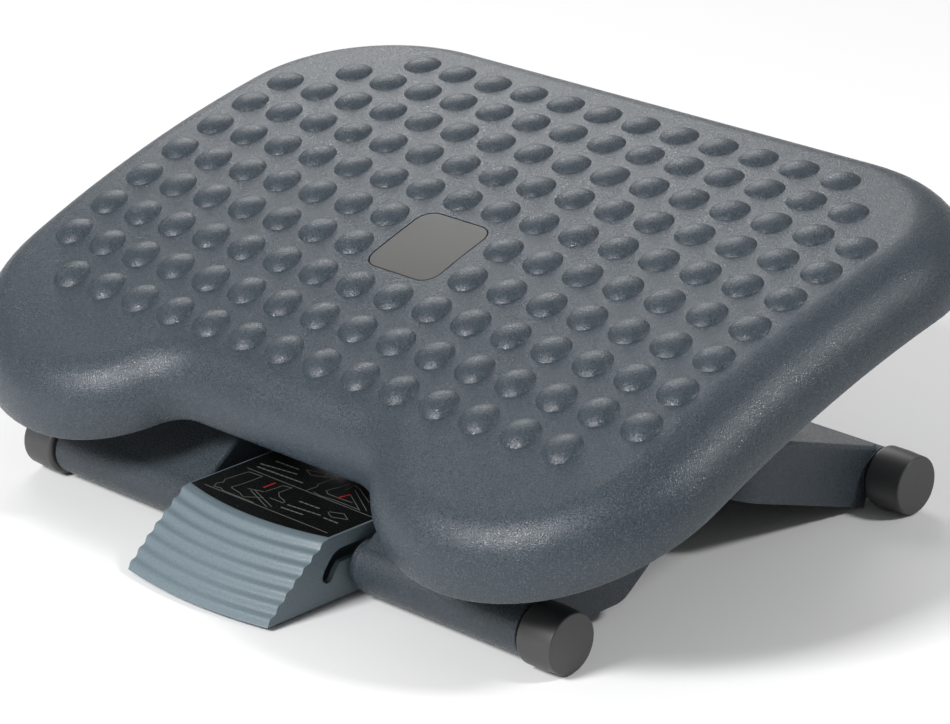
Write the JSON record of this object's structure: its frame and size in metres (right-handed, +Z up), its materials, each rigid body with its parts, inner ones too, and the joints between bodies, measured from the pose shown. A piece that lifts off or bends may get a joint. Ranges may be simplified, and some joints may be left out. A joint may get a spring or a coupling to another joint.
{
  "type": "tilting under desk footrest",
  "caption": "Tilting under-desk footrest: a crowned tray with massage bumps on crossing legs with round end feet, and a ribbed pedal that frees the height latch.",
  "frame": {"origin": "on the floor under the middle of the footrest", "axes": "+X to the right for a person whose feet come from the front, +Y to the rear, towards the raised edge of the tray, +Z up"},
  "size_m": [0.454, 0.3391, 0.1658],
  "materials": {
    "tray_grey": "blue-grey moulded plastic with a fine sparkling mould grain and a soft sheen",
    "leg_grey": "dark grey moulded plastic with a fine even grain",
    "pedal_grey": "light blue-grey moulded plastic, satin",
    "foot_grey": "neutral dark grey plastic, satin",
    "plate_grey": "smooth grey-brown plate, satin",
    "label_film": "glossy near-black printed film",
    "dark_nylon": "black glass-filled nylon",
    "zinc_steel": "zinc-plated steel"
  },
  "bodies": {
    "front_feet": {"front_foot_left": "foot_grey", "front_foot_right": "foot_grey"},
    "front_leg": {"front_leg": "leg_grey", "scissor_pin_left": "zinc_steel", "scissor_pin_right": "zinc_steel", "scissor_clip_left": "zinc_steel", "scissor_clip_right": "zinc_steel"},
    "rear_leg": {"rear_leg": "leg_grey", "latch_rod": "zinc_steel", "slide_pin": "zinc_steel", "slide_clip_left": "zinc_steel", "slide_clip_right": "zinc_steel"},
    "rear_feet": {"rear_foot_left": "foot_grey", "rear_foot_right": "foot_grey"},
    "tray": {"tray_shell": "tray_grey", "centre_plate": "plate_grey", "hinge_bracket_left": "zinc_steel", "hinge_bracket_right": "zinc_steel", "hinge_bracket_left_screw_front": "zinc_steel", "hinge_bracket_left_screw_rear": "zinc_steel", "hinge_bracket_right_screw_front": "zinc_steel", "hinge_bracket_right_screw_rear": "zinc_steel", "hinge_rod": "zinc_steel", "hinge_clip_left": "zinc_steel", "hinge_clip_right": "zinc_steel", "slide_rail_left": "dark_nylon", "slide_rail_right": "dark_nylon", "slide_rail_left_screw_front": "zinc_steel", "slide_rail_left_screw_rear": "zinc_steel", "slide_rail_right_screw_front": "zinc_steel", "slide_rail_right_screw_rear": "zinc_steel"},
    "pedal": {"pedal": "pedal_grey", "pedal_label": "label_film", "latch_bar": "dark_nylon", "latch_screw_front": "zinc_steel", "latch_screw_rear": "zinc_steel"}
  },
  "joints": [
    {"name": "height", "type": "hinge", "parent": "front_feet", "child": "front_leg", "pos_m": [0, -0.104, 0.015], "axis": [1, 0, 0], "range_deg": [0, 12]},
    {"name": "rear_leg_swing", "type": "hinge", "parent": "front_leg", "child": "rear_leg", "pos_m": [0, -0.02599, 0.07044], "axis": [1, 0, 0], "range_deg": [-17.5, 0]},
    {"name": "rear_feet_turn", "type": "hinge", "parent": "rear_leg", "child": "rear_feet", "pos_m": [0, 0.13704, 0.015], "axis": [1, 0, 0], "range_deg": [0, 5.5]},
    {"name": "tray_tilt", "type": "hinge", "parent": "front_leg", "child": "tray", "pos_m": [0, 0.03351, 0.11273], "axis": [1, 0, 0], "range_deg": [-6, 0]},
    {"name": "pedal_press", "type": "hinge", "parent": "front_feet", "child": "pedal", "pos_m": [0, -0.104, 0.015], "axis": [1, 0, 0], "range_deg": [0, 1.5]}
  ],
  "couplings": [
    {"joint": "rear_leg_swing", "follows": "height", "ratio": -1.455},
    {"joint": "rear_feet_turn", "follows": "height", "ratio": 0.455},
    {"joint": "tray_tilt", "follows": "height", "ratio": -0.495}
  ]
}
